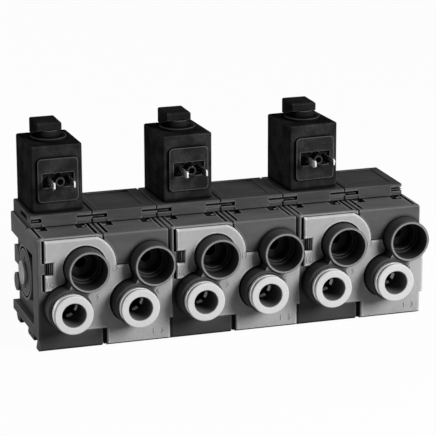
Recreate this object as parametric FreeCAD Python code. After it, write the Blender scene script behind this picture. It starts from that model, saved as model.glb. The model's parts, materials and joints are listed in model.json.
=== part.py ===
import FreeCAD, Part
import math
import os
from FreeCAD import Vector

# A bank of three directional control valves, each made of two slices side by side.
# Every piece is drawn about its own slice: x from the slice's middle, y backwards from
# the front plate's face, z up from the feet. It is then moved to its place in the row.

# How far a cutter runs past the face that it opens
past = 1.0

# Row of slices
valve_count = 3
slice_pitch = 24.0
slice_gap = 0.3
slice_count = 2 * valve_count
slice_half = (slice_pitch - slice_gap) / 2

# Body block
body_face_y = 1.0
body_back_y = 41.0
body_top_z = 41.1
body_edge_r = 0.7
seam_chamfer = 0.35
rail_bottom_z = 4.1
rail_top_z = 7.5

# Feet, which hook over a mounting rail
foot_edge = 0.8
front_foot_depth = 4.9
front_foot_neck = 2.6
middle_foot_y = 14.2
middle_foot_depth = 9.2
middle_foot_lean = 1.8
rear_foot_depth = 5.7
rear_foot_lean = 1.6
foot_inset = 1.2

# Front plate
plate_thickness = 2.0
plate_edge = 0.45
plate_top_gap = 0.6
plate_bottom_z = 0.6
plate_left_inset = 2.45
plate_overhang = 1.2
plate_step_drop = 0.35
plate_corner_r = 11.6
plate_tip_z = 22.1
plate_fit = 0.2
plate_side_groove = 0.9
plate_groove_depth = 2.2
plate_hole_fit = 0.45
foot_window_inset = 0.8
foot_window_z = 6.7
foot_window_gap = 1.6
foot_window_sink = 0.9
plate_relief_z = 8.2
plate_relief = 1.1
tab_top_z = 32.5
tab_bottom_z = 28.0
tab_reach = 3.0
tab_fit = 0.35
tab_ribs = 3
tab_rib = 0.4
tab_rib_depth = 0.5

# Ports
cup_x = 4.95
cup_z = 29.9
cup_r = 7.5
cup_wall = 0.85
cup_depth = 8.1
cup_ledges = 2
cup_ledge = 0.67
cup_ledge_pitch = 1.2
cup_well_depth = 13.6
collar_x = -1.95
collar_z = 16.15
collar_r = 7.9
port_proud = 6.6
web_width = 7.5
port_edge = 0.25
collar_edge = 0.7
port_root = 1.0
drilling_r = 2.2

# Push-in fittings
tube_r = 4.0
tube_fit = 0.05
seat_fit = 0.05
fitting_seat_r = 6.65
tube_seat_length = 5.0
ring_head_r = 7.0
ring_head = 1.3
ring_hole_r = 4.25
ring_shank_r = 5.2
ring_edge = 0.3
ring_travel = 1.0
sleeve_flange = 1.9
sleeve_flange_r = 6.95
sleeve_back_y = 2.5
claw_thickness = 0.4
claw_root_r = 5.5
claw_tip_r = 4.12
claw_lean = 1.0
claw_rake = 0.15
claw_teeth = 8
claw_slot_width = 1.45
backing_thickness = 1.6
backing_mouth_r = 5.9
backing_hole_r = 4.35
backing_lip = 0.5
seal_section_r = 1.2
shank_rest_gap = 0.2

# Spools and their springs
spool_y = 24.5
spool_bore_r = 5.5
spool_fit = 0.05
spool_travel = 3.0
spool_stop_gap = 1.5
spool_top_gap = 0.8
spool_stem_r = 3.0
spool_land = 3.0
spool_lip = 0.3
spool_skirt = 0.6
spool_floor_z = 8.0
spring_pocket_r = 3.95
spring_pocket_depth = 3.7
spring_coil_r = 3.3
spring_wire_r = 0.35
spring_turns = 5.0

# Supply gallery through the row
supply_y = 21.0
supply_z = 23.7
supply_r = 3.4
channel_seal_r = 6.2
channel_seal_wall = 1.2
channel_seal_groove = 0.6
end_boss_r = 10.1
end_recess = 2.4
end_recess_y = 8.2
end_recess_top_z = 33.7
end_recess_slope = 2.1
end_groove = 0.8
end_dimple_r = 0.8
end_dimple_spacing = 10.6
end_block_depth = 5.0
end_block_low_z = 22.2
end_block_top_z = 28.5
end_block_drop = 1.0
end_stud_r = 3.4
end_stud_z = 15.3
end_stud_drop = 0.6
end_slot_y = 4.3
end_slot_width = 0.6
end_slot_depth = 0.8
end_slot_low_z = 36.2
end_slot_top_z = 40.0
plug_head_r = 4.2
plug_head = 1.2
plug_shank = 4.0

# Caps on top of the slices
gasket_thickness = 0.3
cap_front_y = 16.0
cap_height = 4.2
cap_edge_r = 0.5
cap_end_inset = 1.1
cap_ledge = 0.45
cap_ledge_height = 0.6
pocket_width = 5.45
pocket_depth = 10.5
pocket_bottom = 1.4
pocket_height = 1.9
pocket_rib = 0.65
pocket_rib_top = 0.55
pocket_rib_setback = 1.9
pocket_rib_end = 0.9
pocket_wall = 0.4
side_slot_front = 19.8
side_slot_back = 29.8
side_slot_depth = 3.0
panel_depth = 0.35
panel_left = 2.4
panel_right = 4.2
panel_front = 3.0
panel_back = 1.6
piston_room_r = 7.0
piston_room = 0.9

# Hollows in the body's top beside each seam, with a pin head in each
hollow_near = 2.9
hollow_far = 6.8
hollow_front = 11.2
hollow_back = 17.0
hollow_depth = 1.0
hollow_corner_r = 0.8
pin_x = 3.7
pin_y = 13.8
pin_r = 0.75
pin_drop = 0.2

# Joining clips, whose legs lie in grooves beside the seams
clip_wire_r = 0.45
clip_leg_x = 1.9
clip_front_y = 3.4
clip_back_y = 17.4
clip_bend_y = 14.2
clip_fit = 0.1
clip_sink = 0.05
clip_foot = 2.0
clip_hole_r = 0.65

# Solenoids
coil_x = 0.0
coil_setback = 2.2
coil_width = 18.8
coil_depth = 22.2
coil_height = 24.1
coil_corner_r = 1.2
coil_top_r = 0.6
coil_turns = (1.0, 2.5, 3.5)
coil_seal = 0.4
coil_hole_r = 4.65
pad_width = 14.8
pad_height = 15.8
pad_proud = 1.2
pad_drop = 0.35
pad_corner_r = 1.5
blade_spacing = 7.3
blade_height = 2.7
blade_thickness = 0.6
blade_reach = 9.0
blade_root = 3.0
blade_slot_height = 5.0
blade_slot_width = 4.2
blade_slot_depth = 1.0
insert_slot_r = 2.6
insert_r = 1.7
insert_hole_r = 1.1
insert_proud = 3.0
insert_root = 4.0
tube_flange_r = 6.6
tube_flange = 1.4
armature_tube_r = 4.5
armature_r = 3.8
armature_fit = 0.05
armature_travel = 0.8
armature_length = 13.0
armature_tail_r = 1.6
armature_tail = 1.0
armature_well_r = 2.6
armature_well_depth = 6.0
armature_stop_gap = 0.1
armature_spring_r = 2.0
armature_spring_wire = 0.3
armature_spring_turns = 5.0
pilot_r = 1.1
neck_r = 3.0

# Retaining cap on each coil
nut_flange_r = 6.4
nut_flange = 1.0
nut_neck_r = 4.5
nut_block_x = -0.5
nut_block_shift = 2.0
nut_block_width = 9.2
nut_block_depth = 11.4
nut_block_front = 2.8
nut_block_heel = 3.0
nut_height = 6.4
nut_roof = 1.9
nut_edge = 0.4
nut_fit = 0.1

# Places in the row that follow from the sizes above
cup_inner_r = cup_r - cup_wall
ring_face_y = -(port_proud + sleeve_flange + ring_travel + ring_head)
depth_overall = body_back_y - ring_face_y
plate_y = -depth_overall / 2 - ring_face_y
plate_top_z = body_top_z - plate_top_gap
plate_left_x = -slice_half + plate_left_inset
plate_step_z = cup_z - plate_step_drop
foot_window_x = slice_pitch / 2 + foot_window_inset
spool_bottom_z = spool_floor_z + spool_travel + spool_stop_gap
spool_top_z = body_top_z - spool_top_gap
spring_pocket_z = spool_bottom_z + spring_pocket_depth
gasket_top_z = body_top_z + gasket_thickness
cap_top_z = gasket_top_z + cap_height
coil_front_y = cap_front_y + coil_setback
coil_bottom_z = cap_top_z + coil_seal
coil_top_z = coil_bottom_z + coil_height
nut_top_z = coil_top_z + nut_height
neck_top_z = nut_top_z - nut_roof
coil_back_y = coil_front_y + coil_depth
pad_z = (coil_bottom_z + coil_top_z) / 2 - pad_drop
pad_face_y = coil_front_y - pad_proud
coil_middle_y = (coil_front_y + coil_back_y) / 2
port_root_y = plate_thickness + port_root
claw_y = sleeve_back_y
backing_y = claw_y + claw_thickness
seal_y = backing_y + backing_thickness
seat_floor_y = seal_y + 2 * seal_section_r
tube_floor_y = seat_floor_y + tube_seat_length
tube_bore_r = tube_r + tube_fit
spool_r = spool_bore_r - spool_fit
tube_base_z = cap_top_z - tube_flange
armature_bottom_z = tube_base_z + armature_tail
armature_top_z = armature_bottom_z + armature_length
armature_well_z = armature_top_z - armature_well_depth
armature_roof_z = armature_top_z + armature_travel + armature_stop_gap


def slice_x(index):
    return (index - (slice_count - 1) / 2) * slice_pitch


def box(x0, x1, y0, y1, z0, z1):
    return Part.makeBox(x1 - x0, y1 - y0, z1 - z0, Vector(x0, y0, z0))


def rod_x(y, z, r, x0, x1):
    return Part.makeCylinder(r, x1 - x0, Vector(x0, y, z), Vector(1, 0, 0))


def rod_y(x, z, r, y0, y1):
    return Part.makeCylinder(r, y1 - y0, Vector(x, y0, z), Vector(0, 1, 0))


def rod_z(x, y, r, z0, z1):
    return Part.makeCylinder(r, z1 - z0, Vector(x, y, z0), Vector(0, 0, 1))


def turned_y(x, z, points):
    """A turned piece about an axis along y, from (radius, y) corners of its half section."""
    corners = [Vector(x + r, y, z) for r, y in points]
    face = Part.Face(Part.makePolygon(corners + corners[:1]))
    return face.revolve(Vector(x, 0, z), Vector(0, 1, 0), 360)


def turned_z(x, y, points):
    """A turned piece about an upright axis, from (radius, z) corners of its half section."""
    corners = [Vector(x + r, y, z) for r, z in points]
    face = Part.Face(Part.makePolygon(corners + corners[:1]))
    return face.revolve(Vector(x, y, 0), Vector(0, 0, 1), 360)


def along_x(points, x0, x1):
    """A bar along x with the (y, z) corners of its section."""
    corners = [Vector(x0, y, z) for y, z in points]
    return Part.Face(Part.makePolygon(corners + corners[:1])).extrude(Vector(x1 - x0, 0, 0))


def along_y(points, y0, y1):
    """A bar along y with the (x, z) corners of its section."""
    corners = [Vector(x, y0, z) for x, z in points]
    return Part.Face(Part.makePolygon(corners + corners[:1])).extrude(Vector(0, y1 - y0, 0))


def edges_where(shape, test):
    return [edge for edge in shape.Edges if test(edge.BoundBox)]


def near(a, b):
    return abs(a - b) < 1e-4


def coil_spring(x, y, z0, z1, coil_r, wire_r, turns):
    """An open wire spring whose ends lie flat against z0 and z1."""
    pitch = (z1 - z0 - 2 * wire_r) / turns
    path = Part.makeHelix(pitch, pitch * turns, coil_r)
    ring = Part.Circle(Vector(coil_r, 0, 0), Vector(0, coil_r, pitch / (2 * math.pi)), wire_r)
    section = Part.Wire(ring.toShape())
    wire = Part.Wire(path.Edges).makePipeShell([section], True, True)
    wire.translate(Vector(x, y, z0 + wire_r))
    return wire


def plate_outline(grow, y):
    """The front plate's outline as a closed wire at depth y, every side moved out by grow."""
    left = plate_left_x - grow
    right = slice_pitch + slice_half + plate_overhang + grow
    top = plate_top_z + grow
    step = plate_step_z + grow
    bottom = plate_bottom_z - grow
    notch = plate_left_x + tab_reach - grow
    window_x = foot_window_x - grow
    window_z = foot_window_z - grow
    relief_x = right - plate_relief
    corner_r = plate_corner_r + grow

    def on_corner(z):
        return Vector(cup_x + math.sqrt(corner_r ** 2 - (z - cup_z) ** 2), y, z)

    low, high = on_corner(step), on_corner(top)
    middle = Vector(cup_x, y, cup_z) + Vector(1, 0, 1).normalize() * corner_r
    path = [(left, top), (left, tab_top_z - grow), (notch, tab_top_z - grow), (notch, tab_bottom_z + grow),
            (left, tab_bottom_z + grow), (left, plate_tip_z - grow), (collar_x - grow, plate_tip_z - grow),
            (collar_x - grow, window_z), (window_x, window_z), (window_x, bottom), (relief_x, bottom),
            (relief_x, plate_relief_z - grow), (right, plate_relief_z - grow), (right, step)]
    points = [high] + [Vector(x, y, z) for x, z in path] + [low]
    edges = [Part.makeLine(a, b) for a, b in zip(points, points[1:])]
    edges.append(Part.Arc(low, middle, high).toShape())
    return Part.Wire(edges)


def plate_block(grow, y0, y1):
    """The front plate's outline as a solid from y0 to y1."""
    return Part.Face(plate_outline(grow, y0)).extrude(Vector(0, y1 - y0, 0))


def port_moulding(grow, y0, y1, cup_bevel=0.0, collar_bevel=0.0):
    """The cup and the collar below it, joined by a web, as one block from y0 to y1."""
    pieces = []
    for x, z, r, bevel in ((cup_x, cup_z, cup_r + grow, cup_bevel),
                           (collar_x, collar_z, collar_r + grow, collar_bevel)):
        if bevel:
            pieces.append(turned_y(x, z, [(0, y0), (r - bevel, y0), (r, y0 + bevel), (r, y1), (0, y1)]))
        else:
            pieces.append(rod_y(x, z, r, y0, y1))
    reach = math.hypot(cup_x - collar_x, cup_z - collar_z)
    web = box(-web_width / 2 - grow, web_width / 2 + grow, y0 + collar_bevel, y1, 0, reach)
    lean = math.degrees(math.atan2(cup_x - collar_x, cup_z - collar_z))
    web.rotate(Vector(0, 0, 0), Vector(0, 1, 0), lean)
    web.translate(Vector(collar_x, 0, collar_z))
    return pieces[0].fuse([pieces[1], web]).removeSplitter()


def front_plate():
    """One plate over both slices of a valve, drawn about the left slice."""
    bevel = Part.makeLoft([plate_outline(-plate_edge, 0), plate_outline(0, plate_edge)], True, True)
    plate = bevel.fuse(plate_block(0, plate_edge, plate_thickness))
    for shift in (0, slice_pitch):
        hole = port_moulding(plate_hole_fit, -past, plate_thickness + past)
        hole.translate(Vector(shift, 0, 0))
        plate = plate.cut(hole)
    solids = sorted(plate.Solids, key=lambda solid: solid.Volume)
    return solids[-1]


def feet(index):
    """A hooked front foot, a middle foot and a rear foot, which stop short of the row's ends."""
    front = body_face_y
    back = body_back_y
    top = rail_bottom_z
    middle_end = middle_foot_y + middle_foot_depth
    rear_start = back - rear_foot_depth
    first = [(front, top), (front, foot_edge), (front + foot_edge, 0), (front + front_foot_depth, 0),
             (front + front_foot_neck, top)]
    second = [(middle_foot_y + middle_foot_lean, top), (middle_foot_y, 0), (middle_end - foot_edge, 0),
              (middle_end, foot_edge), (middle_end - middle_foot_lean, top)]
    third = [(rear_start + rear_foot_lean, top), (rear_start, 0), (back - 2 * foot_edge, 0),
             (back, 2 * foot_edge), (back, top)]
    left = -slice_half + (foot_inset if index == 0 else 0)
    right = slice_half - (foot_inset if index == slice_count - 1 else 0)
    return [along_x(first, -slice_half, slice_half), along_x(second, left, right),
            along_x(third, left, right)]


def end_face(side):
    """What is cut from the outer face of the row's first or last slice."""
    face = side * slice_half
    inner = face - side * end_recess
    outer = face + side * past
    rise = end_recess_slope * past / end_recess
    recess = along_y([(inner, rail_top_z), (outer, rail_top_z), (outer, end_recess_top_z + rise),
                      (inner, end_recess_top_z - end_recess_slope)], end_recess_y, body_back_y + past)
    boss = rod_x(supply_y, supply_z, end_boss_r, *sorted((inner, face)))
    block_x = sorted((inner, face - side * end_block_drop))
    block = box(*block_x, body_back_y - end_block_depth, body_back_y, end_block_low_z, end_block_top_z)
    stud = rod_x(body_back_y - end_stud_r, end_stud_z, end_stud_r,
                 *sorted((inner, face - side * end_stud_drop)))
    groove_x = sorted((face - side * end_groove, outer))
    groove = rod_x(supply_y, supply_z, end_boss_r - end_groove, *groove_x)
    groove = groove.cut(rod_x(supply_y, supply_z, end_boss_r - 2 * end_groove, *groove_x))
    dimples = [rod_x(supply_y, supply_z + end * end_dimple_spacing / 2, end_dimple_r, *groove_x)
               for end in (-1, 1)]
    slot_x = sorted((face - side * end_slot_depth, outer))
    slot = box(*slot_x, end_slot_y, end_slot_y + end_slot_width, end_slot_low_z, end_slot_top_z)
    return [recess.cut([boss, block, stud]), groove, slot] + dimples


def slice_body(index):
    """One slice's moulded body with its ports, bores and feet."""
    left_slice = index % 2 == 0
    body = box(-slice_half, slice_half, body_face_y, body_back_y, rail_bottom_z, body_top_z)
    rim = edges_where(body, lambda b: near(b.YMin, body_face_y) and near(b.YMax, body_face_y)
                      and near(b.ZMin, body_top_z))
    body = body.makeFillet(body_edge_r, rim)
    sides = edges_where(body, lambda b: near(b.XMin, b.XMax) and near(abs(b.XMin), slice_half)
                        and b.ZMax > rail_top_z and (b.YMax < cap_front_y or b.ZMin > rail_top_z))
    body = body.makeChamfer(seam_chamfer, sides)
    body = body.fuse(feet(index))

    groove_end = plate_thickness + plate_groove_depth
    pocket = plate_block(plate_fit, body_face_y - past, plate_thickness)
    groove = box(plate_left_x - plate_side_groove, plate_left_x + plate_fit, body_face_y - past,
                 groove_end, plate_tip_z, plate_top_z)
    groove = groove.cut(box(plate_left_x - plate_side_groove, plate_left_x + tab_reach, 0, groove_end,
                            tab_bottom_z + tab_fit, tab_top_z - tab_fit))
    gap = box(foot_window_x - foot_window_gap, foot_window_x, body_face_y - past,
              plate_thickness + foot_window_sink, -past, foot_window_z)
    ribs = []
    for number in range(tab_ribs):
        x = plate_left_x + (number + 1) * tab_reach / (tab_ribs + 1)
        ribs.append(box(x - tab_rib / 2, x + tab_rib / 2, body_face_y - past, body_face_y + tab_rib_depth,
                        tab_bottom_z, tab_top_z))
    for cutter in [pocket, groove, gap] + ribs:
        cutter.translate(Vector(0 if left_slice else -slice_pitch, 0, 0))
        body = body.cut(cutter)
    if left_slice and index > 0:
        neighbour = plate_block(plate_fit, body_face_y - past, plate_thickness)
        neighbour.translate(Vector(-2 * slice_pitch, 0, 0))
        body = body.cut(neighbour)
    if index > 0:
        body = body.cut(rod_y(cup_x - slice_pitch, cup_z, cup_r + plate_hole_fit, body_face_y - past,
                              port_root_y + plate_hole_fit))

    body = body.fuse([port_moulding(0, -port_proud, port_root_y, port_edge, collar_edge)])

    cuts = []
    for number in range(cup_ledges + 1):
        depth = cup_depth + number * cup_ledge_pitch if number < cup_ledges else cup_well_depth
        cuts.append(rod_y(cup_x, cup_z, cup_inner_r - number * cup_ledge, -port_proud - past,
                          depth - port_proud))
    cuts.append(rod_y(cup_x, cup_z, drilling_r, cup_well_depth - port_proud - past, spool_y))
    cuts.append(rod_y(collar_x, collar_z, fitting_seat_r, -port_proud - past, seat_floor_y))
    cuts.append(rod_y(collar_x, collar_z, tube_bore_r, seat_floor_y - past, tube_floor_y))
    cuts.append(rod_y(collar_x, collar_z, drilling_r, tube_floor_y - past, spool_y))
    cuts.append(rod_z(0, spool_y, spool_bore_r, spool_floor_z, body_top_z + past))
    cuts.append(rod_x(supply_y, supply_z, supply_r, -slice_half - past, slice_half + past))
    for side in (-1, 1):
        cuts.extend([clip_groove(side), top_hollow(side)])
        seal_x = sorted((side * (slice_half - channel_seal_groove), side * (slice_half + past)))
        last = index == (0 if side < 0 else slice_count - 1)
        if last:
            cuts.extend(end_face(side))
        else:
            cuts.append(rod_x(supply_y, supply_z, channel_seal_r, *seal_x))
    body = body.cut(cuts)
    return body.removeSplitter()


def top_hollow(side):
    """The hollow in the body's top beside a seam, which runs under the cap, less its pin head."""
    across = sorted((side * (slice_pitch / 2 - hollow_near), side * (slice_pitch / 2 - hollow_far)))
    floor = body_top_z - hollow_depth
    hollow = box(*across, hollow_front, hollow_back, floor, body_top_z + past)
    corners = edges_where(hollow, lambda b: b.ZLength > past and near(b.YMax, hollow_front))
    hollow = hollow.makeFillet(hollow_corner_r, corners)
    pin = rod_z(side * (slice_pitch / 2 - pin_x), pin_y, pin_r, floor, body_top_z - pin_drop)
    return hollow.cut([pin])


def clip_groove(side):
    """The groove beside a seam for one leg of a joining clip, with its two holes."""
    x = side * (slice_pitch / 2 - clip_leg_x)
    wide = clip_wire_r + clip_fit
    floor = body_top_z - clip_sink - 2 * clip_wire_r - clip_fit
    low = body_top_z - clip_sink - clip_wire_r - clip_foot - clip_fit
    leg = box(x - wide, x + wide, clip_front_y, clip_back_y, floor, body_top_z + past)
    holes = [rod_z(x, y, clip_hole_r, low, body_top_z + past) for y in (clip_front_y, clip_bend_y)]
    cross = sorted((x - side * wide, side * (slice_half + past)))
    back = box(*cross, clip_back_y - wide, clip_back_y + wide, floor, body_top_z + past)
    return leg.fuse(holes + [back])


def joining_clip():
    """A wire clip bent into a U with turned-down tips, drawn about the seam that it bridges."""
    z = body_top_z - clip_sink - clip_wire_r
    legs = []
    for x in (-clip_leg_x, clip_leg_x):
        legs.append(rod_y(x, z, clip_wire_r, clip_front_y, clip_back_y))
        legs.append(rod_z(x, clip_front_y, clip_wire_r, z - clip_foot, z))
        legs.extend(Part.makeSphere(clip_wire_r, Vector(x, y, z)) for y in (clip_front_y, clip_back_y))
    cross = rod_x(clip_back_y, z, clip_wire_r, -clip_leg_x, clip_leg_x)
    return cross.fuse(legs)


def cap_ends(index):
    """The two sides of a slice's cap, which stops short of the row's ends."""
    left = -slice_half + (cap_end_inset if index == 0 else 0)
    right = slice_half - (cap_end_inset if index == slice_count - 1 else 0)
    return left, right


def cap_shell(index):
    """A cap's outside with its front pockets. The first pocket of the row is closed by a wall."""
    ends = cap_ends(index)
    cap = box(*ends, cap_front_y, body_back_y, gasket_top_z, cap_top_z)
    rim = edges_where(cap, lambda b: near(b.YMin, cap_front_y) and near(b.YMax, cap_front_y)
                      and near(b.ZMin, cap_top_z))
    cap = cap.makeFillet(cap_edge_r, rim)
    sides = edges_where(cap, lambda b: (near(b.XMax, ends[0]) or near(b.XMin, ends[1]))
                        and (near(b.ZMin, cap_top_z) or b.ZLength > 1 and b.YMax < body_back_y))
    cap = cap.makeChamfer(seam_chamfer, sides)
    ledge = along_x([(cap_front_y, gasket_top_z), (cap_front_y - cap_ledge, gasket_top_z),
                     (cap_front_y - cap_ledge, gasket_top_z + cap_ledge_height),
                     (cap_front_y, gasket_top_z + cap_ledge_height + cap_ledge)],
                    -slice_half + pocket_width, slice_half - pocket_width)
    cap = cap.fuse([ledge])
    cuts = []
    floor = gasket_top_z + pocket_bottom
    roof = floor + pocket_height
    rib_top = roof - pocket_rib_top
    back = cap_front_y + pocket_depth
    for side, end in zip((-1, 1), ends):
        closed = index == 0 and side < 0
        inner = side * (slice_half - pocket_width)
        outer = end + pocket_wall if closed else end + side * past
        pocket = box(*sorted((inner, outer)), cap_front_y - past, back, floor, roof)
        rib_x = sorted((inner + side * pocket_rib_end, end))
        rib = box(*rib_x, cap_front_y + pocket_rib_setback, back, rib_top - pocket_rib, rib_top)
        cuts.append(pocket.cut([rib]))
        if closed:
            cuts.append(box(end - past, end + side_slot_depth, side_slot_front, side_slot_back,
                            floor, roof))
    return cap.cut(cuts)


def blank_cap(index):
    """The plain cap of a right slice, with a sunken panel on top and the piston room below."""
    panel = box(-slice_half + panel_left, slice_half - panel_right, cap_front_y + panel_front,
                body_back_y - panel_back, cap_top_z - panel_depth, cap_top_z + past)
    room = rod_z(0, spool_y, piston_room_r, gasket_top_z - past, gasket_top_z + piston_room)
    return cap_shell(index).cut([panel, room]).removeSplitter()


def pilot_cap(index):
    """The cap of a left slice, which carries the solenoid over the passage to the piston's room."""
    seat = rod_z(coil_x, coil_middle_y, tube_flange_r + nut_fit, tube_base_z, cap_top_z + past)
    room = rod_z(0, spool_y, piston_room_r, gasket_top_z - past, gasket_top_z + piston_room)
    passage = rod_z(coil_x, coil_middle_y, pilot_r, gasket_top_z - past, tube_base_z + past)
    return cap_shell(index).cut([seat, room, passage]).removeSplitter()


def cap_gasket(index):
    """A flat gasket between a body and its cap."""
    sheet = box(*cap_ends(index), cap_front_y, body_back_y, body_top_z, gasket_top_z)
    return sheet.cut([rod_z(0, spool_y, piston_room_r, body_top_z - past, gasket_top_z + past)])


def turned_about_tube(shape, degrees):
    """A copy turned about the armature tube, as a coil is before its retaining cap is tightened."""
    copy = shape.copy()
    copy.rotate(Vector(coil_x, coil_middle_y, 0), Vector(0, 0, 1), degrees)
    return copy


def coil():
    """The moulded coil with its connector pad, drawn about its slice."""
    x0 = coil_x - coil_width / 2
    x1 = coil_x + coil_width / 2
    block = box(x0, x1, coil_front_y, coil_back_y, coil_bottom_z, coil_top_z)
    uprights = edges_where(block, lambda b: b.ZLength > 1)
    block = block.makeFillet(coil_corner_r, uprights)
    rim = edges_where(block, lambda b: near(b.ZMin, coil_top_z))
    block = block.makeFillet(coil_top_r, rim)
    pad = box(coil_x - pad_width / 2, coil_x + pad_width / 2, pad_face_y, coil_front_y + past,
              pad_z - pad_height / 2, pad_z + pad_height / 2)
    corners = edges_where(pad, lambda b: b.YLength > 1)
    pad = pad.makeFillet(pad_corner_r, corners)
    block = block.fuse([pad])
    cuts = [rod_z(coil_x, coil_middle_y, coil_hole_r, coil_bottom_z - past, coil_top_z + past)]
    slot_floor_y = pad_face_y + blade_slot_depth
    cuts.append(rod_y(coil_x, pad_z, insert_slot_r, pad_face_y - past, slot_floor_y))
    cuts.append(rod_y(coil_x, pad_z, insert_r, pad_face_y - past, pad_face_y + insert_root))
    for side in (-1, 1):
        x = coil_x + side * blade_spacing / 2
        cuts.append(box(x - blade_slot_width / 2, x + blade_slot_width / 2, pad_face_y - past, slot_floor_y,
                        pad_z - blade_slot_height / 2, pad_z + blade_slot_height / 2))
        cuts.append(box(x - blade_thickness / 2, x + blade_thickness / 2, pad_face_y,
                        pad_face_y + blade_root, pad_z - blade_height / 2, pad_z + blade_height / 2))
    return block.cut(cuts).removeSplitter()


def contact_blades():
    """The two flat contacts of one coil."""
    tip_y = pad_face_y - blade_reach
    blades = []
    for side in (-1, 1):
        x = coil_x + side * blade_spacing / 2
        blade = box(x - blade_thickness / 2, x + blade_thickness / 2, tip_y, pad_face_y + blade_root,
                    pad_z - blade_height / 2, pad_z + blade_height / 2)
        tip = edges_where(blade, lambda b: near(b.YMax, tip_y) and near(b.ZMin, b.ZMax))
        blades.append(blade.makeChamfer(blade_thickness, tip))
    return blades


def connector_insert():
    """The threaded bush between a coil's contacts, which takes the plug's screw."""
    front = pad_face_y - insert_proud
    back = pad_face_y + insert_root
    bush = rod_y(coil_x, pad_z, insert_r, front, back)
    return bush.cut([rod_y(coil_x, pad_z, insert_hole_r, front - past, back - insert_hole_r)])


def coil_gasket():
    """The flat seal between a coil and its cap."""
    inset = coil_corner_r
    sheet = box(coil_x - coil_width / 2 + inset, coil_x + coil_width / 2 - inset, coil_front_y + inset,
                coil_back_y - inset, cap_top_z, coil_bottom_z)
    return sheet.cut([rod_z(coil_x, coil_middle_y, tube_flange_r, cap_top_z - past, coil_bottom_z + past)])


def armature_tube():
    """The closed tube that guides the armature, with a flange below and a threaded neck."""
    bore = armature_r + armature_fit
    top = coil_top_z + nut_flange / 2
    return turned_z(coil_x, coil_middle_y, [
        (bore, tube_base_z), (tube_flange_r, tube_base_z), (tube_flange_r, cap_top_z),
        (armature_tube_r, cap_top_z), (armature_tube_r, top), (neck_r, top), (neck_r, neck_top_z),
        (0, neck_top_z), (0, armature_roof_z), (bore, armature_roof_z)])


def armature():
    """The sliding armature with its valve tip and the room for its spring."""
    return turned_z(coil_x, coil_middle_y, [
        (0, tube_base_z), (armature_tail_r, tube_base_z), (armature_tail_r, armature_bottom_z),
        (armature_r, armature_bottom_z), (armature_r, armature_top_z), (armature_well_r, armature_top_z),
        (armature_well_r, armature_well_z), (0, armature_well_z)])


def armature_spring():
    """The spring between the armature's well and the stop in the tube."""
    return coil_spring(coil_x, coil_middle_y, armature_well_z, armature_roof_z, armature_spring_r,
                       armature_spring_wire, armature_spring_turns)


def coil_nut():
    """The retaining cap: a round flange and neck, and a wedge-shaped block set back on top."""
    middle = coil_middle_y + nut_block_shift
    front = middle - nut_block_depth / 2
    back = middle + nut_block_depth / 2
    flange_top = coil_top_z + nut_flange
    flange = rod_z(coil_x, coil_middle_y, nut_flange_r, coil_top_z, flange_top)
    neck = rod_z(coil_x, coil_middle_y, nut_neck_r, coil_top_z, nut_top_z - nut_block_front)
    section = [(front, nut_top_z), (back, nut_top_z), (back, flange_top),
               (back - nut_block_heel, flange_top), (front, nut_top_z - nut_block_front)]
    left = coil_x + nut_block_x - nut_block_width / 2
    block = along_x(section, left, left + nut_block_width)
    rim = edges_where(block, lambda b: near(b.ZMin, nut_top_z) or b.ZLength > 1 and near(b.YMax, front))
    block = block.makeChamfer(nut_edge, rim)
    nut = flange.fuse([neck, block])
    hole = rod_z(coil_x, coil_middle_y, neck_r + nut_fit, coil_top_z - past, neck_top_z)
    relief = rod_z(coil_x, coil_middle_y, armature_tube_r + nut_fit, coil_top_z - past,
                   coil_top_z + nut_flange / 2)
    return nut.cut([hole, relief]).removeSplitter()


def spool():
    """A turned spool with four sealing lands and a well for its return spring."""
    step = (spool_top_z - spool_bottom_z - spool_land) / 3
    points = [(spring_pocket_r, spool_bottom_z), (spool_r, spool_bottom_z)]
    for number in range(4):
        start = spool_bottom_z + number * step
        end = start + spool_land
        seal_r = spool_r - spool_lip
        third = spool_land / 3
        points += [(spool_r, start), (spool_r, start + third), (seal_r, start + third),
                   (seal_r, end - third), (spool_r, end - third), (spool_r, end)]
        if number < 3:
            hollow = end < spring_pocket_z + spool_skirt
            stem_r = spring_pocket_r + spool_skirt if hollow else spool_stem_r
            points += [(stem_r, end), (stem_r, start + step)]
    points += [(0, spool_top_z), (0, spring_pocket_z), (spring_pocket_r, spring_pocket_z)]
    clean = [points[0]]
    for point in points[1:]:
        if point != clean[-1]:
            clean.append(point)
    return turned_z(0, spool_y, clean)


def spool_spring():
    """The spring between the bore's floor and the spool's well."""
    return coil_spring(0, spool_y, spool_floor_z, spring_pocket_z, spring_coil_r, spring_wire_r,
                       spring_turns)


def fitting_sleeve():
    """The metal sleeve of a push-in fitting, pressed into the collar."""
    front = -port_proud - sleeve_flange
    bore = ring_shank_r + seat_fit
    edge = ring_edge
    return turned_y(collar_x, collar_z, [
        (bore, front), (sleeve_flange_r - edge, front), (sleeve_flange_r, front + edge),
        (sleeve_flange_r, -port_proud), (fitting_seat_r - seat_fit, -port_proud),
        (fitting_seat_r - seat_fit, sleeve_back_y), (bore, sleeve_back_y)])


def release_ring():
    """The ring that is pressed in to free the tube."""
    face = ring_face_y
    tail = sleeve_back_y - ring_travel - shank_rest_gap
    return turned_y(collar_x, collar_z, [
        (ring_hole_r, face + ring_edge), (ring_hole_r + ring_edge, face), (ring_head_r - ring_edge, face),
        (ring_head_r, face + ring_edge), (ring_head_r, face + ring_head), (ring_shank_r, face + ring_head),
        (ring_shank_r, tail), (ring_hole_r, tail)])


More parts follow.
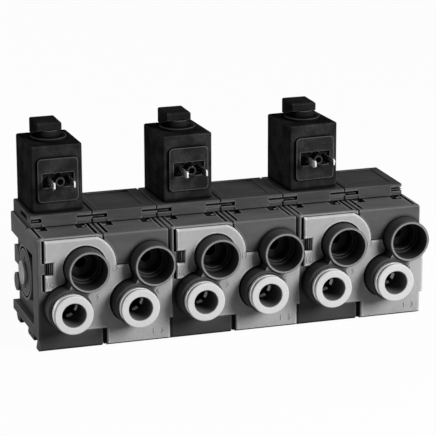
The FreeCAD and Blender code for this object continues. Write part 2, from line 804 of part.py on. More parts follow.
def grip_claw():
    """The spring steel washer whose teeth lean inwards to grip the tube."""
    rim = rod_y(collar_x, collar_z, fitting_seat_r - seat_fit, claw_y, claw_y + claw_thickness)
    rim = rim.cut([rod_y(collar_x, collar_z, claw_root_r, claw_y - past, claw_y + past)])
    cone = turned_y(collar_x, collar_z, [
        (claw_tip_r, claw_y + claw_lean), (claw_root_r + claw_rake, claw_y),
        (claw_root_r + claw_rake, claw_y + claw_thickness),
        (claw_tip_r + claw_rake, claw_y + claw_lean + claw_thickness)])
    slots = []
    for number in range(claw_teeth):
        slot = box(-claw_slot_width / 2, claw_slot_width / 2, claw_y - past, claw_y + 2 * claw_lean + past,
                   0, claw_root_r)
        slot.rotate(Vector(0, 0, 0), Vector(0, 1, 0), 360 * number / claw_teeth)
        slot.translate(Vector(collar_x, 0, collar_z))
        slots.append(slot)
    return rim.fuse([cone]).cut(slots)


def backing_ring():
    """The ring that holds the claw against the sleeve and backs the seal."""
    return turned_y(collar_x, collar_z, [
        (backing_mouth_r, backing_y), (fitting_seat_r - seat_fit, backing_y),
        (fitting_seat_r - seat_fit, seal_y), (backing_hole_r, seal_y),
        (backing_hole_r, seal_y - backing_lip)])


def tube_seal():
    """The ring seal round the tube."""
    middle = fitting_seat_r - seal_section_r
    ring = Part.makeTorus(middle, seal_section_r, Vector(collar_x, seal_y + seal_section_r, collar_z),
                          Vector(0, 1, 0))
    return ring


def channel_seal():
    """The flat ring that seals the supply gallery between two slices, drawn about the seam."""
    half = slice_gap / 2 + channel_seal_groove
    ring = rod_x(supply_y, supply_z, channel_seal_r, -half, half)
    return ring.cut([rod_x(supply_y, supply_z, channel_seal_r - channel_seal_wall, -half, half)])


def supply_plug(side):
    """The plug that closes one end of the supply gallery."""
    face = side * slice_half
    inner = sorted((face - side * plug_shank, face))
    outer = sorted((face, face + side * plug_head))
    shank = rod_x(supply_y, supply_z, supply_r - seat_fit, *inner)
    head = rod_x(supply_y, supply_z, plug_head_r, *outer)
    return shank.fuse([head]).removeSplitter()


def moved(shape, x):
    copy = shape.copy()
    copy.translate(Vector(x, plate_y, 0))
    return copy


def save(name, shapes):
    shape = shapes[0] if len(shapes) == 1 else Part.makeCompound(shapes)
    shape.exportStep("parts/" + name + ".step")
    count = len(shape.Solids)
    valid = all(solid.isValid() for solid in shape.Solids)
    print(name, "solids", count, "volume", round(shape.Volume, 1), "valid", valid)


os.makedirs("parts", exist_ok=True)
plate = front_plate()
coil_block = coil()
nut = coil_nut()
guide = armature_tube()
plunger = armature()
plunger_spring = armature_spring()
slider = spool()
slider_spring = spool_spring()
ring = release_ring()
sleeve = fitting_sleeve()
claw = grip_claw()
backing = backing_ring()
seal = tube_seal()
flat_seal = coil_gasket()
bush = connector_insert()
blades = contact_blades()
clip = joining_clip()
gallery_seal = channel_seal()

for valve in range(valve_count):
    number = str(valve + 1)
    left = slice_x(2 * valve)
    right = slice_x(2 * valve + 1)
    save("body_left_" + number, [moved(slice_body(2 * valve), left)])
    save("body_right_" + number, [moved(slice_body(2 * valve + 1), right)])
    save("front_plate_" + number, [moved(plate, left)])
    save("pilot_cap_" + number, [moved(pilot_cap(2 * valve), left)])
    save("blank_cap_" + number, [moved(blank_cap(2 * valve + 1), right)])
    save("coil_" + number, [moved(turned_about_tube(coil_block, coil_turns[valve]), left)])
    save("coil_nut_" + number, [moved(nut, left)])
    save("armature_tube_" + number, [moved(guide, left)])
    save("armature_" + number, [moved(plunger, left)])
    save("armature_spring_" + number, [moved(plunger_spring, left)])
    for side, x in (("left", left), ("right", right)):
        save("spool_" + side + "_" + number, [moved(slider, x)])
        save("spool_spring_" + side + "_" + number, [moved(slider_spring, x)])
        save("release_ring_" + side + "_" + number, [moved(ring, x)])

every_slice = [slice_x(index) for index in range(slice_count)]
every_coil = list(zip(every_slice[::2], coil_turns))
seams = [(a + b) / 2 for a, b in zip(every_slice, every_slice[1:])]
save("fitting_sleeves", [moved(sleeve, x) for x in every_slice])
save("tube_grip_claws", [moved(claw, x) for x in every_slice])
save("backing_rings", [moved(backing, x) for x in every_slice])
save("tube_seals", [moved(seal, x) for x in every_slice])
save("cap_gaskets", [moved(cap_gasket(index), x) for index, x in enumerate(every_slice)])
save("coil_gaskets", [moved(turned_about_tube(flat_seal, turn), x) for x, turn in every_coil])
save("connector_inserts", [moved(turned_about_tube(bush, turn), x) for x, turn in every_coil])
save("contact_blades", [moved(turned_about_tube(blade, turn), x)
                        for x, turn in every_coil for blade in blades])
save("joining_clips", [moved(clip, x) for x in seams[1::2]])
save("channel_seals", [moved(gallery_seal, x) for x in seams])
save("supply_plugs", [moved(supply_plug(-1), every_slice[0]), moved(supply_plug(1), every_slice[-1])])
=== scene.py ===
# %% [markdown]
# The object is a row of three joined air valves. Each valve is two dark slices side by
# side under one pale plate, with an open socket and a push-in tube port on each slice and
# one black solenoid coil on its left slice. The solids come from the packed frame and
# are already in their places, so nothing here moves or reshapes them. This script gives
# every solid its finish, adds the small forms that are easier to shape here, and sets up
# the camera, the floor and the lamps.

# %% Load the packed frame
import bpy
import json
import math
from mathutils import Matrix, Vector

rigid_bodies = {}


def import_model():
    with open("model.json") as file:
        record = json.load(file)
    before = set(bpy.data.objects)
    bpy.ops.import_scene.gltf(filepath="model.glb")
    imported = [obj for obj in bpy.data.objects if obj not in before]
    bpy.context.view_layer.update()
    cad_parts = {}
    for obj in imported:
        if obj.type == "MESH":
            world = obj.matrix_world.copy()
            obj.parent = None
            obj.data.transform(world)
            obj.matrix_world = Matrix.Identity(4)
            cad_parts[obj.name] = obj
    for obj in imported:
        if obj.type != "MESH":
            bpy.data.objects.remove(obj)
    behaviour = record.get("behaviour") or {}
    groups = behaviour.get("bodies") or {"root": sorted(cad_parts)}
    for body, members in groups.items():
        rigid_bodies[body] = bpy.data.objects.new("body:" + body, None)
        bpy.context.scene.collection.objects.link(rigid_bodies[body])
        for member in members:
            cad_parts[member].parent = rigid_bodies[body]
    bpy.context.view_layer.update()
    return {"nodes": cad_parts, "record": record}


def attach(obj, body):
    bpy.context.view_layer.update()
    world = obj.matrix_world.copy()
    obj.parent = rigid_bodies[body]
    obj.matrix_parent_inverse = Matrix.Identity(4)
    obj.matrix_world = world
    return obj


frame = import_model()
nodes = frame["nodes"]
slot_of = {part["node"]: part["material_slot"] for part in frame["record"]["subparts"]}

# %% [markdown]
# The camera of the photograph can be found by eye, or from things whose true spacing is
# known. Here the six equal ring holes in a line gave it: a long lens held three quarters
# of a metre away, a little to the left and above. Its direction is written as two turns
# and a slight roll. A matrix whose columns are right, up and back then places the camera
# in one step, with no guessing at Euler angles.

# %% Camera
photo_pixels = 436
focal_pixels = 2313.5
sensor = 36.0
yaw, lift, roll = (math.radians(angle) for angle in (-17.85, 15.84, 0.197))
eye = Vector((-0.2480, -0.7664, 0.2674))

back = Vector((math.sin(yaw) * math.cos(lift), -math.cos(yaw) * math.cos(lift), math.sin(lift)))
level = Vector((math.cos(yaw), math.sin(yaw), 0))
upright = back.cross(level)
right = level * math.cos(roll) - upright * math.sin(roll)
up = back.cross(right)

lens = bpy.data.cameras.new("camera")
lens.sensor_width = sensor
lens.lens = sensor * focal_pixels / photo_pixels
lens.clip_start = 0.05
camera = bpy.data.objects.new("camera", lens)
bpy.context.scene.collection.objects.link(camera)
camera.matrix_world = Matrix((right, up, back)).transposed().to_4x4()
camera.location = eye
bpy.context.scene.camera = camera
print("lens in mm:", round(lens.lens, 1))

# %% [markdown]
# Shader maths could be wired node by node, which soon hides the thought behind it. It
# reads better as ordinary sums, so a small class wraps the output of a node, and each sum
# on it adds one Math node. The mirrored forms are there so that 1 - mask works too.

# %% Sums on shader sockets
class Wire:
    """An output of a shader node, on which Python's sums add Math nodes."""

    def __init__(self, maker, output):
        self.maker = maker
        self.output = output

    def sum(self, operation, first, second=0.0):
        return self.maker.node("ShaderNodeMath", {"operation": operation}, {0: first, 1: second})

    def __add__(self, other):
        return self.sum("ADD", self, other)

    def __radd__(self, other):
        return self.sum("ADD", other, self)

    def __sub__(self, other):
        return self.sum("SUBTRACT", self, other)

    def __rsub__(self, other):
        return self.sum("SUBTRACT", other, self)

    def __mul__(self, other):
        return self.sum("MULTIPLY", self, other)

    def __rmul__(self, other):
        return self.sum("MULTIPLY", other, self)

    def between(self, low, high):
        """0 at low, 1 at high, and a smooth rise from one to the other."""
        return self.maker.node("ShaderNodeMapRange", {"interpolation_type": "SMOOTHSTEP"},
                               {"Value": self, "From Min": low, "From Max": high})

    def within(self, low, high, soft=0.0001):
        """1 from low to high and 0 outside."""
        return self.between(low - soft, low + soft) * (1 - self.between(high - soft, high + soft))

    def repeated(self, start, pitch):
        """The distance past the last of a row of marks that begins at start."""
        return (self - start).sum("FLOORED_MODULO", self - start, pitch)


print("sums ready, and also:", [name for name in vars(Wire) if not name.startswith("_")])

# %% [markdown]
# Every other node comes from one method. It takes the node's type, then its settings,
# then the values or wires of its sockets. A Finish is one material, or the world, in the
# making: it starts from an empty tree, and its last step plugs a shader into the output.

# %% The node maker
class Finish:
    """The shader nodes of one material or of the world."""

    def __init__(self, owner):
        owner.use_nodes = True
        self.owner = owner
        self.tree = owner.node_tree
        self.tree.nodes.clear()

    def node(self, kind, settings=None, inputs=None, output=0):
        made = self.tree.nodes.new(kind)
        for name, value in (settings or {}).items():
            setattr(made, name, value)
        for name, value in (inputs or {}).items():
            if isinstance(value, Wire):
                self.tree.links.new(value.output, made.inputs[name])
            else:
                made.inputs[name].default_value = value
        return Wire(self, made.outputs[output]) if len(made.outputs) else None

    def grey(self, factor, first, second):
        """A colour that runs from the grey or wire first to second with factor."""
        ends = [end if isinstance(end, Wire) else (end, end, end, 1) for end in (first, second)]
        return self.node("ShaderNodeMix", {"data_type": "RGBA"},
                         {0: factor, 6: ends[0], 7: ends[1]}, output=2)

    def place(self):
        return self.node("ShaderNodeTexCoord", output="Object")

    def noise(self, size, detail=2.0, stretch=(1, 1, 1)):
        """Noise from 0 to 1, in patches about size across in metres."""
        spot = self.node("ShaderNodeMapping", None, {"Vector": self.place(), "Scale": stretch})
        return self.node("ShaderNodeTexNoise", None,
                         {"Vector": spot, "Scale": 1 / size, "Detail": detail})


print("node maker ready, Blender", bpy.app.version_string)

# %% [markdown]
# Real edges are never sharp, and on used plastic they are rubbed paler. The edge mask here
# stands for that wear and also paints a highlight along each outer edge. Corners that fold
# in, and the gaps between pieces, take less light, and a second mask paints that shade into
# the colour. Both could be painted by hand, but the Ambient Occlusion node finds them by
# itself: looking inwards it darkens near an outer edge, looking outwards it darkens in a
# corner. The Bevel node then rounds the shading across each edge. Two small helpers read
# where a point is and how its face looks, for the marks that sit at a known place.

# %% Edge, corner and rounding masks
shade_samples = 8
round_samples = 6


# Wear along outer edges, and a painted highlight there too.
def rubbed(finish, width):
    """1 along edges that stand out, over about width, and 0 on flat faces."""
    seen = finish.node("ShaderNodeAmbientOcclusion",
                       {"inside": True, "only_local": True, "samples": shade_samples},
                       {"Distance": width}, output="AO")
    return (1 - seen).between(0.08, 0.45)


# Painted shade in corners and gaps.
def sheltered(finish, reach, low=0.25, high=0.7):
    """1 deep in corners and gaps narrower than about reach, and 0 in the open."""
    seen = finish.node("ShaderNodeAmbientOcclusion", {"samples": shade_samples},
                       {"Distance": reach}, output="AO")
    return (1 - seen).between(low, high)


def relief(finish, height, depth, radius):
    """A bump of that depth in metres on faces whose edges are rounded by radius."""
    rounded = finish.node("ShaderNodeBevel", {"samples": round_samples}, {"Radius": radius})
    return finish.node("ShaderNodeBump", None,
                       {"Height": height, "Distance": depth, "Normal": rounded})


def place_of(finish):
    """The place in metres as three wires."""
    spot = finish.place()
    return [finish.node("ShaderNodeSeparateXYZ", None, {"Vector": spot}, output=axis)
            for axis in "XYZ"]


def facing(finish, axis):
    """How far a face looks along an axis of the object, from -1 to 1."""
    normal = finish.node("ShaderNodeNewGeometry", output="True Normal")
    return finish.node("ShaderNodeSeparateXYZ", None, {"Vector": normal}, output=axis)


print("masks ready")

# %% [markdown]
# The slices, caps, coils and plates are moulded plastic. Close to, such plastic has the
# fine satin grain of a spark-eroded mould, and a slow cloudiness from the way it flowed.
# The grain is small noise as a bump and in the roughness, the cloud is slow noise in the
# grey, and the masks above paint wear and a highlight on the edges and paint shade in the
# corners. Corners get painted shade at two reaches, a wide one for hollows and a narrow one
# for the lines between pieces.

# %% Moulded plastic
cloud_size = 0.006
edge_patch_size = 0.003
hollow_reach = 0.014
line_reach = 0.0026


def moulded(slot, grey, wear_and_highlight_grey, roughness, shine, grain=0.0003, depth=0.00002, edge=0.0008,
            soft=0.0003, cloud=0.1, stretch=(1, 1, 1), hollow=0.7, gap=0.9, front=0.0,
            dark_part=None, dark_grey=0.01):
    """A satin plastic. Greys and strengths are from 0 to 1, lengths are in metres."""
    finish = Finish(bpy.data.materials.new(slot))
    slow = finish.noise(cloud_size, 3.0, stretch).between(0.3, 0.7)
    fine = finish.noise(grain, 2.0, stretch)
    wear_and_highlight = rubbed(finish, edge) * (0.55 + 0.45 * finish.noise(edge_patch_size))
    tone = finish.grey(slow, grey * (1 - cloud), grey * (1 + cloud))
    tone = finish.grey(fine.between(0.35, 0.75) * 0.5, tone, grey * (0.9 - cloud))
    # Wear and a painted highlight along the edges.
    tone = finish.grey(wear_and_highlight, tone, wear_and_highlight_grey)
    # The dark part is painted shade on slices, caps and coils, and a dark grip with painted shade
    # on rings.
    if dark_part:
        tone = finish.grey(dark_part(finish), tone, dark_grey)
    # Painted shade in hollows, less on faces that look to the front.
    shade = sheltered(finish, hollow_reach, 0.3, 0.85) * hollow * (
        1 - (-1 * facing(finish, "Y")).between(0.6, 0.95) * front)
    tone = finish.grey(shade, tone, grey * 0.08)
    # Painted shade in the lines between pieces.
    tone = finish.grey(sheltered(finish, line_reach, 0.16, 0.52) * gap, tone, grey * 0.03)
    shader = finish.node("ShaderNodeBsdfPrincipled", None, {
        "Base Color": tone, "Roughness": roughness + 0.14 * (fine - 0.5) - 0.08 * wear_and_highlight,
        "Specular IOR Level": shine, "Normal": relief(finish, fine, depth, soft)})
    finish.node("ShaderNodeOutputMaterial", None, {"Surface": shader})
    return finish.owner


print("plastic ready, it shades over mm:", hollow_reach * 1000, line_reach * 1000)

# %% [markdown]
# Everything on the front repeats along the row: the ports once a slice, the plate and its
# latch once a valve. A mask can use that. The remainder of a division by the pitch turns
# the six ports into one, and the distance from that one's axis marks a round place at all
# six of them.

# %% The row's measures
slice_pitch = 0.024
valve_pitch = 2 * slice_pitch
first_slice_x = -0.060
port_line_x, port_line_z = -0.06195, 0.01615
cup_line_x, cup_line_z = -0.05505, 0.0299


def from_axis(x, z, axis_x, axis_z):
    """The distance from the nearest of the row's six axes that run from front to back."""
    across = x.repeated(axis_x - slice_pitch / 2, slice_pitch) - slice_pitch / 2
    height = z - axis_z
    square = across * across + height * height
    return square.sum("SQRT", square)


print("slices every mm:", slice_pitch * 1000, "valves every mm:", valve_pitch * 1000)

# %% [markdown]
# The tops of this object are painted darker than its fronts, as painted shade beyond what
# the lamps give. A coil also gets painted shade along its lowest millimetre, where it meets
# its gasket. Painting either by hand would miss what faces up by chance. So the first is a
# mask of the face's direction, and the second one of the height.

# %% Painted shade on the tops and the coil's foot
coil_foot_z = (0.0464, 0.0472)


# Painted shade on faces that look up.
def facing_up(finish):
    """Part of the way to 1 on faces that look up, 0 on all others."""
    return facing(finish, "Z").between(0.6, 0.95) * 0.6


# Painted shade on the coil's tops and along its foot.
def dark_of_coil(finish):
    """As facing_up, and high along the coil's foot."""
    x, y, z = place_of(finish)
    low = (1 - z.between(*coil_foot_z)) * 0.8
    return low.sum("MAXIMUM", low, facing_up(finish))


print("coil's dark foot ends at mm:", round(coil_foot_z[1] * 1000, 1))

# %% [markdown]
# Some places of a slice get painted shade, darker than their shape alone would make them
# under the lamps. They are the slit round each collar, the gap round each sleeve, the seam
# between two valves, the ribbed latch, the floor of each socket, the side of each collar and
# the foot. Each could be painted on a picture, but here it is a mask of plain distances, and
# where two meet the stronger one counts. All but the foot end a little behind the front, so
# that none of them shows on the back.

# %% Painted shade on a slice
first_valve_x = first_slice_x - 0.01195
latch_x = first_slice_x - 0.0094
latch_width = 0.0030
latch_z = (0.0280, 0.0325)
latch_back_y = (-0.0125, -0.0120)
catch_width = (0.0017, 0.0021)
slit_y = (-0.0153, -0.01415)
collar_front_y = (-0.0212, -0.0208)
sleeve_gap_r = (0.0072, 0.0075)
cup_floor_y = (-0.0146, -0.0136)
cup_well_y = (-0.0075, -0.0070)
cup_floor_r = (0.0060, 0.0064)
seam_width = (0.0009, 0.0012)
seam_back_y = (-0.0140, -0.0135)
past_first_valve_x = (-0.040, -0.039)
foot_z = (0.002, 0.017)


def dark_of_body(finish):
    """Painted shade: high in narrow places on the front, less on a collar's side, the latch and
    the foot.
    """
    x, y, z = place_of(finish)
    # Every mask below paints shade; the foot's grows darker towards the bottom.
    along_latch = x.repeated(latch_x, valve_pitch)
    latch = along_latch.within(0, latch_width) * z.within(*latch_z)
    latch = latch * (0.95 - 0.55 * along_latch.between(*catch_width))
    latch = latch * (1 - y.between(*latch_back_y))
    foot = (1 - z.between(*foot_z)) * 0.6
    sleeve_gap = 1 - from_axis(x, z, port_line_x, port_line_z).between(*sleeve_gap_r)
    sleeve_gap = sleeve_gap * (1 - y.between(*collar_front_y)) * 0.9
    deep = 1 - from_axis(x, z, cup_line_x, cup_line_z).between(*cup_floor_r)
    deep = deep * y.between(*cup_floor_y) * 0.4
    deep = deep * (1 - y.between(*cup_well_y))
    seam = 1 - x.repeated(first_valve_x, valve_pitch).between(*seam_width)
    seam = seam * x.between(*past_first_valve_x) * (1 - y.between(*seam_back_y)) * 0.9
    slit = y.within(*slit_y) * 0.9
    side = (1 - y.between(*slit_y)) * facing(finish, "Y").between(-0.97, -0.72) * 0.5
    dark = latch.sum("MAXIMUM", latch, foot)
    for part in (slit, side, sleeve_gap, deep, seam):
        dark = dark.sum("MAXIMUM", dark, part)
    return dark


print("seam line in mm:", seam_width[1] * 1000, "latch in mm:", latch_width * 1000)

# %% [markdown]
# The plastics differ more than black and grey. The slices are a cloudy dark grey, the caps
# a darker one with painted shade on top, the coils nearly black resin with blotches, and
# the plates a pale grey whose edges are worn paler and carry an almost white painted
# highlight. One recipe with other numbers gives them all.
# An edge mask must stay thinner than the wall that it is on, or the whole wall turns pale,
# so the thin-walled caps and coils have a narrow one.

# %% The plastics
along_row = (0.3, 1, 1)
finishes = {
    "body_plastic": moulded("body_plastic", 0.113, 0.32, 0.62, 0.08, cloud=0.16,
                            stretch=along_row, front=0.6, dark_part=dark_of_body),
    "cap_plastic": moulded("cap_plastic", 0.07, 0.2, 0.62, 0.02, grain=0.0007, edge=0.0005,
                           cloud=0.2, stretch=along_row, hollow=0.3, gap=0.55,
                           dark_part=facing_up, dark_grey=0.02),
    "coil_resin": moulded("coil_resin", 0.026, 0.12, 0.6, 0.0, grain=0.0011, edge=0.0006,
                          soft=0.0006, cloud=0.45, dark_part=dark_of_coil, dark_grey=0.004),
    "nut_plastic": moulded("nut_plastic", 0.017, 0.12, 0.55, 0.0, grain=0.0011, edge=0.0005,
                           soft=0.0008, cloud=0.3),
    "backing_plastic": moulded("backing_plastic", 0.02, 0.04, 0.5, 0.1),
    "plug_plastic": moulded("plug_plastic", 0.62, 0.8, 0.55, 0.1, grain=0.0012, depth=0.0001,
                            cloud=0.3),
    "seal_rubber": moulded("seal_rubber", 0.012, 0.02, 0.7, 0.1),
    "plate_plastic": moulded("plate_plastic", 0.41, 0.95, 0.6, 0.1, grain=0.0007, depth=0.00004,
                             edge=0.0012, cloud=0.05, hollow=0.5),
    "numerals": moulded("numerals", 0.41, 0.65, 0.6, 0.1, edge=0.0003, hollow=0.5),
}
print("plastics:", sorted(finishes))

# %% [markdown]
# A release ring has a pale face, but the tube passes through a dark grip just inside its
# hole, which looks dark from the hole's rim on. The ring is one solid, so the dark part is a
# mask of the distance from the port's axis: it gives the grip its dark colour and also paints
# the shade deep in the hole. The ring's back, where it slides into the sleeve, gets painted
# shade from the same mask.

# %% Release rings
ring_hole_r = 0.00425
hole_dark_r = (ring_hole_r + 0.0001, ring_hole_r + 0.0003)
ring_back_y = (-0.0247, -0.0246)


# The grip's dark colour, with painted shade in the hole and behind the head.
def inside_ring_hole(finish):
    """1 on the wall of a ring's hole and behind its head, 0 on its face."""
    x, y, z = place_of(finish)
    back = y.between(*ring_back_y)
    hole = 1 - from_axis(x, z, port_line_x, port_line_z).between(*hole_dark_r)
    return back.sum("MAXIMUM", back, hole)


finishes["ring_plastic"] = moulded("ring_plastic", 0.62, 0.75, 0.5, 0.2, grain=0.0006,
                                   cloud=0.03, dark_part=inside_ring_hole, dark_grey=0.2)
print("ring hole in mm:", ring_hole_r * 2000)

# %% [markdown]
# The metal pieces are small: tinned blades, a nickel-plated sleeve round each tube, spring
# steel claws, brass guide tubes and wire clips. Turned and drawn metal carries fine lines
# along its length, so stretched noise runs through the grey, the roughness and a very
# shallow bump. A mirror finish would look new, so the roughness never falls to nothing.

# %% Metals
streak_size = 0.0004
streak_depth = 0.000006
metal_edge = 0.0001
metal_line_reach = 0.0016
drawn_in_depth = (1, 6, 1)
drawn_out = (1, 0.2, 1)


def metal(slot, grey, roughness, stretch=(1, 1, 1)):
    """A worked metal with lines that follow stretch, and painted shade where pieces meet."""
    finish = Finish(bpy.data.materials.new(slot))
    streak = finish.noise(streak_size, 2.0, stretch)
    tone = finish.grey(streak.between(0.3, 0.7), grey * 0.85, grey)
    # Painted shade where pieces meet.
    line = sheltered(finish, metal_line_reach, 0.12, 0.45) * 0.92
    tone = finish.grey(line, tone, grey * 0.05)
    shader = finish.node("ShaderNodeBsdfPrincipled", None, {
        "Base Color": tone, "Metallic": 1.0, "Roughness": roughness + 0.12 * (streak - 0.5),
        "Normal": relief(finish, streak, streak_depth, metal_edge)})
    finish.node("ShaderNodeOutputMaterial", None, {"Surface": shader})
    return finish.owner


finishes.update({
    "tube_brass": metal("tube_brass", 0.5, 0.3),
    "armature_steel": metal("armature_steel", 0.5, 0.3),
    "spring_steel": metal("spring_steel", 0.5, 0.3),
    "spool_alloy": metal("spool_alloy", 0.55, 0.35),
    "sleeve_metal": metal("sleeve_metal", 0.75, 0.45, drawn_in_depth),
    "claw_steel": metal("claw_steel", 0.9, 0.3),
    "insert_brass": metal("insert_brass", 0.05, 0.25),
    "blade_tin": metal("blade_tin", 0.85, 0.25, drawn_out),
    "clip_steel": metal("clip_steel", 0.05, 0.45),
})
print("all finishes:", sorted(finishes))

# %% [markdown]
# The record names a material slot for each solid, and each finish above has the name of a
# slot. So the solids need no list of their own here: each one's slots are emptied, and the
# finish of its name goes in.

# %% Finishes on the solids
for name, node in nodes.items():
    node.data.materials.clear()
    node.data.materials.append(finishes[slot_of[name]])
print("finishes:", len(finishes), "on", len(nodes), "nodes")

# %% [markdown]
# An operator acts on all that is selected, and loading leaves the solids selected. So every
# step below begins with nothing selected. What repeats along the row is shaped once and
# then copied with a mesh of its own, and each copy's place is applied to that mesh, which
# keeps the pattern of its finish from sliding.

# %% Selecting and copying
def deselect():
    for thing in bpy.context.selected_objects:
        thing.select_set(False)


def copy_along(piece, name, step):
    """A copy of piece with its own mesh, moved along x by step."""
    deselect()
    piece.select_set(True)
    bpy.context.view_layer.objects.active = piece
    bpy.ops.object.duplicate(linked=False)
    copy = bpy.context.object
    copy.name = name
    bpy.ops.transform.translate(value=(step, 0, 0))
    bpy.ops.object.transform_apply(location=True, rotation=True, scale=True)
    return copy


deselect()
print("selected:", len(bpy.context.selected_objects))

# %% [markdown]
# Each plate carries a few raised numerals that tell the ports apart. They could be a bump
# in the material, but a true relief catches the light on its edges from any side and is
# kept in the mesh. A text object gives the strokes and its extrusion the height. Turned
# into a mesh, it is copied to each plate, so every numeral is shaped only once.

# %% Raised numerals on the plates
plate_face_y = -0.0151
numeral_size = 0.0026
numeral_rise = 0.00016
numeral_bevel = 0.00004
numerals = [("14", -0.0077, 0.0245), ("12", 0.0160, 0.0284), ("2", 0.0096, 0.0184),
            ("4", 0.0316, 0.0186), ("1", 0.0298, 0.0038), ("3", 0.0331, 0.0036)]
for digits, x, z in numerals:
    deselect()
    bpy.ops.object.text_add(location=(0, 0, 0))
    numeral = bpy.context.object
    numeral.name = "numeral_" + digits + "_1"
    numeral.data.body = digits
    numeral.data.size = numeral_size
    numeral.data.align_x = "CENTER"
    numeral.data.align_y = "CENTER"
    numeral.data.resolution_u = 4
    numeral.data.extrude = numeral_rise
    numeral.data.bevel_depth = numeral_bevel
    bpy.ops.object.convert(target="MESH")
    numeral.rotation_euler = (math.pi / 2, 0, 0)
    numeral.location = (first_slice_x + x, plate_face_y, z)
    bpy.ops.object.transform_apply(location=True, rotation=True, scale=True)
    numeral.data.materials.clear()
    numeral.data.materials.append(finishes["numerals"])
    for number in (1, 2, 3):
        piece = numeral
        if number > 1:
            piece = copy_along(numeral, "numeral_" + digits + "_" + str(number),
                               (number - 1) * valve_pitch)
        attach(piece, "valve_bank")
print("numerals:", 3 * len(numerals), "rise in mm:", numeral_rise * 1000)

# %% [markdown]
# The small moulded keys between the caps and the slices have flat faces and slightly
# rounded edges. Such a form could be extruded from a plane, but a cube that is stretched
# between two corners says its place more plainly. A bevel then takes the sharpness off, as
# the mould does.

# %% Blocks with rounded edges
def block(name, low, high):
    """A box from one corner to the other."""
    deselect()
    bpy.ops.mesh.primitive_cube_add(size=1, location=[(a + b) / 2 for a, b in zip(low, high)])
    made = bpy.context.object
    made.name = name
    made.scale = [b - a for a, b in zip(low, high)]
    bpy.ops.object.transform_apply(location=True, rotation=True, scale=True)
    return made


def bevelled(piece, width, slot="cap_plastic"):
    """Rounds the edges of piece and gives it the finish of that slot."""
    bevel = piece.modifiers.new("bevel", "BEVEL")
    bevel.width = width
    bevel.segments = 2
    bpy.context.view_layer.objects.active = piece
    bpy.ops.object.modifier_apply(modifier="bevel")
    piece.data.materials.clear()
    piece.data.materials.append(finishes[slot])


print("helpers ready:", block.__name__, bevelled.__name__)

# %% [markdown]
# Neighbouring caps are keyed together. A tongue of the left cap reaches across the seam
# into the right cap's pocket and leaves only a thin dark line round itself. Each tongue is
# two blocks of different height, a root and a tip, which a Boolean unites before the bevel,
# so that no edge is left inside. Every seam gets a copy.

# %% Tongues between the caps
seam_x = first_slice_x + slice_pitch / 2
pocket_half = 0.00545
pocket_floor = 0.0428
pocket_roof = 0.0447
cap_face_y = 0.0009
tongue_sink = 0.00012
front_y = cap_face_y + tongue_sink
tongue_back_y = 0.0027
line_above = 0.00115
line_below = 0.00055
tongue_root_z = pocket_floor + 0.00005
tongue_top_z = pocket_roof - line_above
tip_low_z = pocket_floor + line_below
tongue_overlap = 0.0002
tip_short = 0.0009
tongue_bevel = 0.0001
root = block("tongue_1", (seam_x - pocket_half, front_y, tongue_root_z),
             (seam_x + tongue_overlap, tongue_back_y, tongue_top_z))
tip = block("tip", (seam_x, front_y, tip_low_z),
            (seam_x + pocket_half - tip_short, tongue_back_y, tongue_top_z))
union = root.modifiers.new("union", "BOOLEAN")
union.operation = "UNION"
union.object = tip
bpy.context.view_layer.objects.active = root
bpy.ops.object.modifier_apply(modifier="union")
bpy.data.objects.remove(tip)
bevelled(root, tongue_bevel)
tongues = [root]
for number in range(2, 6):
    tongues.append(copy_along(root, "tongue_" + str(number), (number - 1) * slice_pitch))
print("tongues:", len(tongues), "length in mm:", round(root.dimensions.x * 1000, 2))

# %% [markdown]
# A thin lip hangs over the tongue on each side of a seam, and closes the pocket's top. It
# stands just as far forward as the tongue does. The row's two ends have half a pocket each,
# with a short block under a short lip, and these differ from the rest, so they are made on
# their own.

# %% Lips, and the row's two ends
lip_height = 0.00045
lip_low_z = pocket_roof - lip_height
lip_end = 0.00015
end_wall_x = (-0.07035, 0.07065)
end_pocket_x = (first_slice_x - 0.0064, 0.0664)
end_clear = 0.0001
lip = block("lip_1_left", (seam_x - pocket_half, front_y, lip_low_z),
            (seam_x - lip_end, tongue_back_y, pocket_roof))
bevelled(lip, tongue_bevel)
lips = []
for number in range(1, 6):
    left = lip
    if number > 1:
        left = copy_along(lip, "lip_" + str(number) + "_left", (number - 1) * slice_pitch)
    lips += [left, copy_along(left, "lip_" + str(number) + "_right", pocket_half + lip_end)]
ends = [block("tongue_left_end", (end_wall_x[0] + end_clear, front_y, tip_low_z),
              (end_pocket_x[0] - tip_short, tongue_back_y, tongue_top_z)),
        block("tongue_right_end", (end_pocket_x[1] + end_clear, front_y, tip_low_z),
              (end_wall_x[1], tongue_back_y, tongue_top_z)),
        block("lip_left_end", (end_wall_x[0], front_y, lip_low_z),
              (end_pocket_x[0], tongue_back_y, pocket_roof)),
        block("lip_right_end", (end_pocket_x[1], front_y, lip_low_z),
              (end_wall_x[1], tongue_back_y, pocket_roof))]
for piece in ends:
    bevelled(piece, tongue_bevel)
for piece in tongues + lips + ends:
    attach(piece, "valve_bank")
print("lips:", len(lips), "pieces at the ends:", len(ends))

# %% [markdown]
# Light hardly passes straight through the seams of such a row, because the slices meet on
# low lands set back from the outside. Each land is a thin flat block with a round opening
# for the air channel and its seal, cut by a cylinder, and the caps have a smaller one. All
# stand on the left slice's wall, deep in the seam, and end just short of the right one.

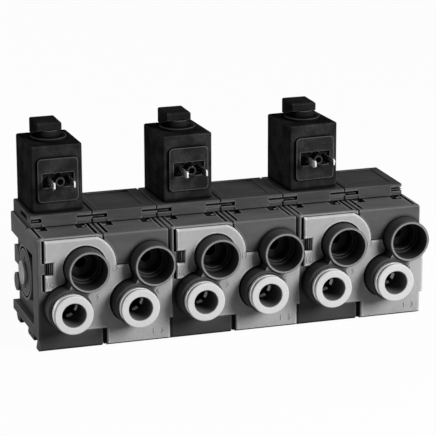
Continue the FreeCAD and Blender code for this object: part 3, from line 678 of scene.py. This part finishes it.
# %% Lands in the seams
land_root = seam_x - 0.00018
land_top = seam_x + 0.00011
channel_y, channel_z = 0.0059, 0.0237
channel_r = 0.0070
cutter_depth = 0.004
land_front_y, cap_land_front_y, land_back_y = -0.0120, 0.0035, 0.0235
land_z = (0.0035, 0.0380)
cap_land_z = (0.0420, 0.0448)
land_bevel = 0.00005
land = block("land_1", (land_root, land_front_y, land_z[0]),
             (land_top, land_back_y, land_z[1]))
deselect()
bpy.ops.mesh.primitive_cylinder_add(vertices=48, radius=channel_r, depth=cutter_depth,
                                    location=(seam_x, channel_y, channel_z),
                                    rotation=(0, math.pi / 2, 0))
opening = bpy.context.object
cut = land.modifiers.new("opening", "BOOLEAN")
cut.operation = "DIFFERENCE"
cut.object = opening
bpy.context.view_layer.objects.active = land
bpy.ops.object.modifier_apply(modifier="opening")
bpy.data.objects.remove(opening)
cap_land = block("cap_land_1", (land_root, cap_land_front_y, cap_land_z[0]),
                 (land_top, land_back_y, cap_land_z[1]))
for kind, first in (("land_", land), ("cap_land_", cap_land)):
    bevelled(first, land_bevel, "body_plastic")
    for number in range(1, 6):
        piece = first
        if number > 1:
            piece = copy_along(first, kind + str(number), (number - 1) * slice_pitch)
        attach(piece, "valve_bank")
lands = [thing for thing in bpy.data.objects if "land_" in thing.name]
print("lands:", len(lands), "thickness in mm:", round((land_top - land_root) * 1000, 2))

# %% [markdown]
# The object was photographed on white and cut out. More light would bleach it, so the
# floor only shows as white to the camera, to mirrors and through glass, and for all other
# light it is a plain pale surface. A little of its own shading is kept in what the camera
# sees, so that the shadow under the feet stays.

# %% Floor
floor_side = 6
white_share = 0.96
deselect()
bpy.ops.mesh.primitive_plane_add(size=floor_side, location=(0, 0, 0))
floor = bpy.context.object
floor.name = "floor"
ground = Finish(bpy.data.materials.new("floor_white"))
seen = [ground.node("ShaderNodeLightPath", output=kind)
        for kind in ("Is Camera Ray", "Is Glossy Ray", "Is Transmission Ray")]
direct = seen[0] + seen[1] + seen[2]
pale = ground.node("ShaderNodeBsdfPrincipled", None, {
    "Base Color": ground.grey(seen[0], 0.4, 0.9), "Roughness": 0.9, "Specular IOR Level": 0.0})
white = ground.node("ShaderNodeEmission", None, {"Color": (1, 1, 1, 1), "Strength": 1.0})
share = direct.sum("MINIMUM", direct, 1.0) * white_share
shown = ground.node("ShaderNodeMixShader", None, {0: share, 1: pale, 2: white})
ground.node("ShaderNodeOutputMaterial", None, {"Surface": shown})
floor.data.materials.append(ground.owner)
print("floor in m:", tuple(round(side, 1) for side in floor.dimensions))

# %% [markdown]
# The photograph's light is soft and comes mostly from the front right: fronts are clear,
# tops and left sides darker, and each port shades the plate on its left. One large lamp
# does that. A weak lamp on the left keeps that side readable, and one behind lights the
# back. The last stands to one side, because right behind the object the flat tops would
# mirror it into the camera.

# %% Lamps
target = Vector((0, 0, 0.035))
lamps = {"key": ((0.58, -0.90, 0.52), 0.45, 16.5),
         "left": ((-1.0, -0.35, 0.35), 0.6, 0.95),
         "behind": ((-0.6, 1.1, 0.55), 0.8, 6.0)}
for name, (place, size, power) in lamps.items():
    lamp = bpy.data.lights.new(name, "AREA")
    lamp.size = size
    lamp.energy = power
    light = bpy.data.objects.new(name, lamp)
    bpy.context.scene.collection.objects.link(light)
    light.location = place
    light.rotation_euler = (target - Vector(place)).to_track_quat("-Z", "Y").to_euler()
print("lamps:", {name: power for name, (place, size, power) in lamps.items()})

# %% [markdown]
# A dim plain world fills in what the lamps leave dark. Mirrored rays see it brighter, as
# they would see the white walls of a studio, and so the blades and sleeves shine without
# more light on the plastic. The Standard view then shows greys as they are written.

# %% Surroundings
world_dim, world_mirrored = 0.07, 0.75
world = bpy.data.worlds.new("studio")
bpy.context.scene.world = world
studio = Finish(world)
mirrored = studio.node("ShaderNodeLightPath", output="Is Glossy Ray")
glow = studio.node("ShaderNodeBackground", None,
                   {"Color": (1, 1, 1, 1), "Strength": world_dim + world_mirrored * mirrored})
studio.node("ShaderNodeOutputWorld", None, {"Surface": glow})
bpy.context.scene.view_settings.view_transform = "Standard"
print("world to light and to mirrors:", world_dim, round(world_dim + world_mirrored, 2))

# %% [markdown] A numeral or a rounded edge adds nothing to the object's reach.
